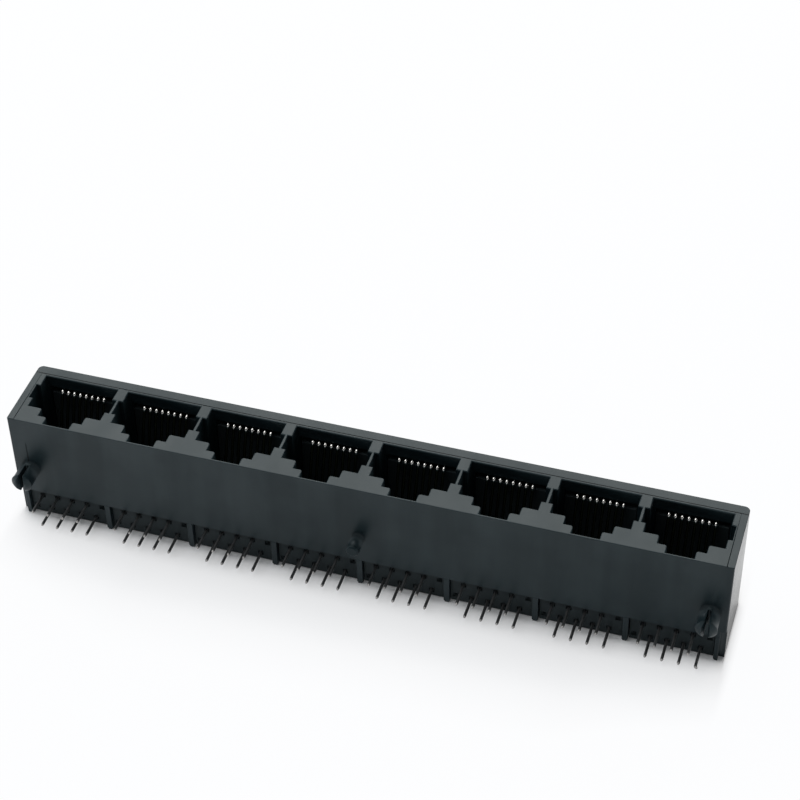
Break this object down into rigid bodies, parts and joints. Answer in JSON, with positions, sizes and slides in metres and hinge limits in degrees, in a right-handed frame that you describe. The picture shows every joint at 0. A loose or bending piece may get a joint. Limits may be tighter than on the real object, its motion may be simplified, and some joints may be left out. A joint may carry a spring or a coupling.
{
  "type": "ganged ethernet jack",
  "caption": "Long black row of modular network jacks in one housing, with stepped plug openings, sprung wire contacts, solder tails, split snap pegs and a locating post for a circuit board.",
  "frame": {"origin": "on the rear rim, at the middle of the middle partition's end face", "axes": "+Z out of the openings, X along the row of ports, -Y towards the circuit board side with the tails and pegs"},
  "size_m": [0.114, 0.0169, 0.0204],
  "materials": {
    "housing_plastic": "black moulded plastic with a soft satin sheen",
    "insert_plastic": "black moulded plastic, slightly duller than the housing",
    "contact_metal": "bright plated spring wire"
  },
  "bodies": {
    "root": {"housing": "housing_plastic", "insert_1": "insert_plastic", "insert_2": "insert_plastic", "insert_3": "insert_plastic", "insert_4": "insert_plastic", "insert_5": "insert_plastic", "insert_6": "insert_plastic", "insert_7": "insert_plastic", "insert_8": "insert_plastic", "front_contacts_1": "contact_metal", "front_contacts_2": "contact_metal", "front_contacts_3": "contact_metal", "front_contacts_4": "contact_metal", "front_contacts_5": "contact_metal", "front_contacts_6": "contact_metal", "front_contacts_7": "contact_metal", "front_contacts_8": "contact_metal", "rear_contacts_1": "contact_metal", "rear_contacts_2": "contact_metal", "rear_contacts_3": "contact_metal", "rear_contacts_4": "contact_metal", "rear_contacts_5": "contact_metal", "rear_contacts_6": "contact_metal", "rear_contacts_7": "contact_metal", "rear_contacts_8": "contact_metal"}
  },
  "joints": []
}
